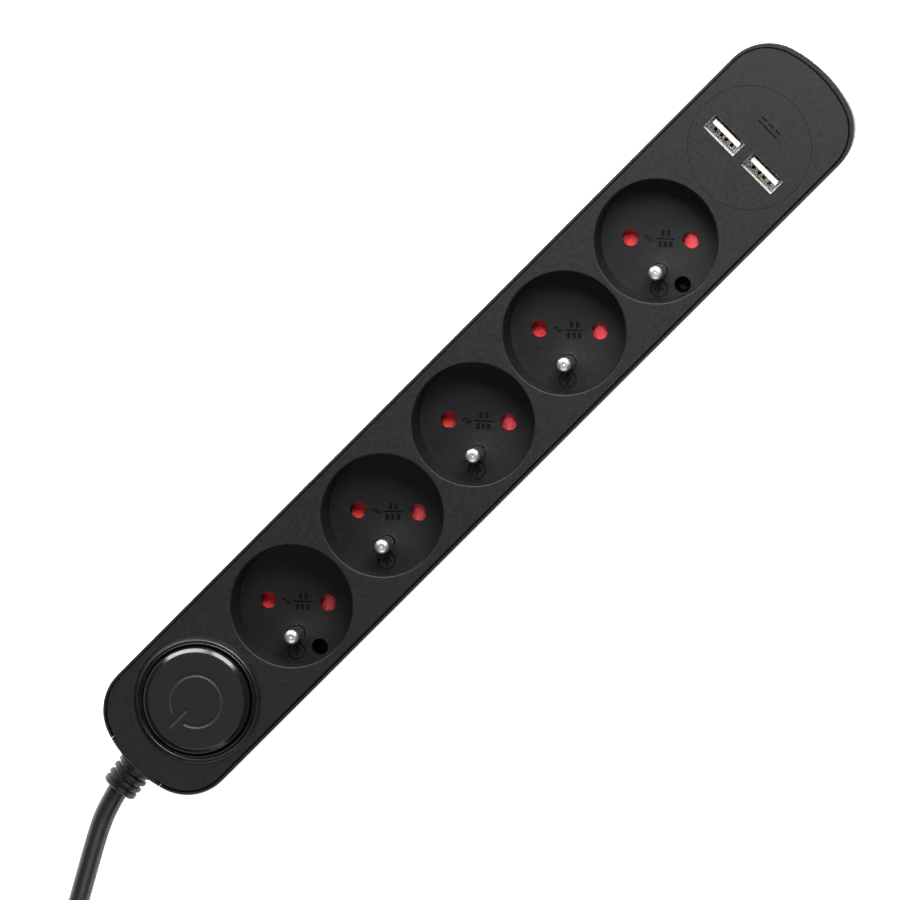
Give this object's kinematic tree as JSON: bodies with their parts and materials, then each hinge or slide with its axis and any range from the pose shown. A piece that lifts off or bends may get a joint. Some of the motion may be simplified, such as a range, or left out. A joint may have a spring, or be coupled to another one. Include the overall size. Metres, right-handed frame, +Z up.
{
  "type": "power strip",
  "caption": "Slim black power strip with round earthed sockets, red shutters, a round push switch, a flush charging panel and a coiled mains lead with plug.",
  "frame": {"origin": "centre of the casing's underside", "axes": "+X along the casing from the cord end to the charging end, +Z up out of the sockets, +Y across"},
  "size_m": [0.5623, 0.0624, 0.0417],
  "materials": {
    "casing": "fine spark-eroded texture",
    "cover": "fine spark-eroded texture",
    "bezel": "satin",
    "button": "fine spark-eroded texture, satin bevel",
    "usb_face": "fine spark-eroded texture",
    "nickel": "nickel-plated brass, polished",
    "shutter": "moulded, glossy",
    "inner_plastic": "moulded natural nylon",
    "steel": "zinc plated",
    "black_screw": "black oxide steel",
    "brass": "stamped strip",
    "port_shell": "stamped, bright",
    "port_tongue": "moulded white",
    "gold": "gold-flashed contacts",
    "board": "solder mask",
    "transformer": "taped winding",
    "capacitor": "sleeved can",
    "brown_lead": "insulated wire",
    "blue_lead": "insulated wire",
    "earth_lead": "insulated wire",
    "cord": "smooth PVC jacket",
    "relief": "soft moulded",
    "tie": "hook and loop strap",
    "plug": "moulded"
  },
  "bodies": {
    "casing": {"base_tub": "casing", "top_cover": "cover", "switch_bezel": "bezel", "usb_faceplate": "usb_face", "earth_pin_1": "nickel", "shutter_guide_1": "inner_plastic", "shutter_spring_1": "steel", "earth_pin_2": "nickel", "shutter_guide_2": "inner_plastic", "shutter_spring_2": "steel", "earth_pin_3": "nickel", "shutter_guide_3": "inner_plastic", "shutter_spring_3": "steel", "earth_pin_4": "nickel", "shutter_guide_4": "inner_plastic", "shutter_spring_4": "steel", "earth_pin_5": "nickel", "shutter_guide_5": "inner_plastic", "shutter_spring_5": "steel", "line_bar": "brass", "neutral_bar": "brass", "earth_bar": "brass", "switch_terminals": "brass", "clamp_screws": "steel", "button_spring": "steel", "cover_screws": "black_screw", "switch_body": "inner_plastic", "cord_clamp": "inner_plastic", "usb_shell_a": "port_shell", "usb_shell_b": "port_shell", "usb_tongue_a": "port_tongue", "usb_tongue_b": "port_tongue", "usb_contacts": "gold", "usb_board": "board", "usb_transformer": "transformer", "usb_capacitors": "capacitor", "line_lead": "brown_lead", "switched_lead": "brown_lead", "usb_line_lead": "brown_lead", "neutral_lead": "blue_lead", "usb_neutral_lead": "blue_lead", "earth_lead": "earth_lead", "cord_lead": "cord", "cord_tail": "cord", "cord_hank": "cord", "cord_jacket_end": "cord", "strain_relief": "relief", "cord_tie": "tie", "plug_body": "plug", "plug_pins": "nickel", "plug_earth_clips": "nickel"},
    "power_button": {"power_button": "button", "switch_bridge": "brass"},
    "shutter_1": {"shutter_1": "shutter"},
    "shutter_2": {"shutter_2": "shutter"},
    "shutter_3": {"shutter_3": "shutter"},
    "shutter_4": {"shutter_4": "shutter"},
    "shutter_5": {"shutter_5": "shutter"}
  },
  "joints": [
    {"name": "button_press", "type": "slide", "parent": "casing", "child": "power_button", "axis": [0, 0, -1], "range_m": [0, 0.003], "stiffness_N_per_m": 300, "springref_m": -0.003, "deforming": ["button_spring"]},
    {"name": "shutter_slide_1", "type": "slide", "parent": "casing", "child": "shutter_1", "axis": [0.682, -0.7314, 0], "range_m": [0, 0.006], "stiffness_N_per_m": 60, "springref_m": -0.004, "deforming": ["shutter_spring_1"]},
    {"name": "shutter_slide_2", "type": "slide", "parent": "casing", "child": "shutter_2", "axis": [0.682, -0.7314, 0], "range_m": [0, 0.006], "stiffness_N_per_m": 60, "springref_m": -0.004, "deforming": ["shutter_spring_2"]},
    {"name": "shutter_slide_3", "type": "slide", "parent": "casing", "child": "shutter_3", "axis": [0.682, -0.7314, 0], "range_m": [0, 0.006], "stiffness_N_per_m": 60, "springref_m": -0.004, "deforming": ["shutter_spring_3"]},
    {"name": "shutter_slide_4", "type": "slide", "parent": "casing", "child": "shutter_4", "axis": [0.682, -0.7314, 0], "range_m": [0, 0.006], "stiffness_N_per_m": 60, "springref_m": -0.004, "deforming": ["shutter_spring_4"]},
    {"name": "shutter_slide_5", "type": "slide", "parent": "casing", "child": "shutter_5", "axis": [0.682, -0.7314, 0], "range_m": [0, 0.006], "stiffness_N_per_m": 60, "springref_m": -0.004, "deforming": ["shutter_spring_5"]}
  ]
}
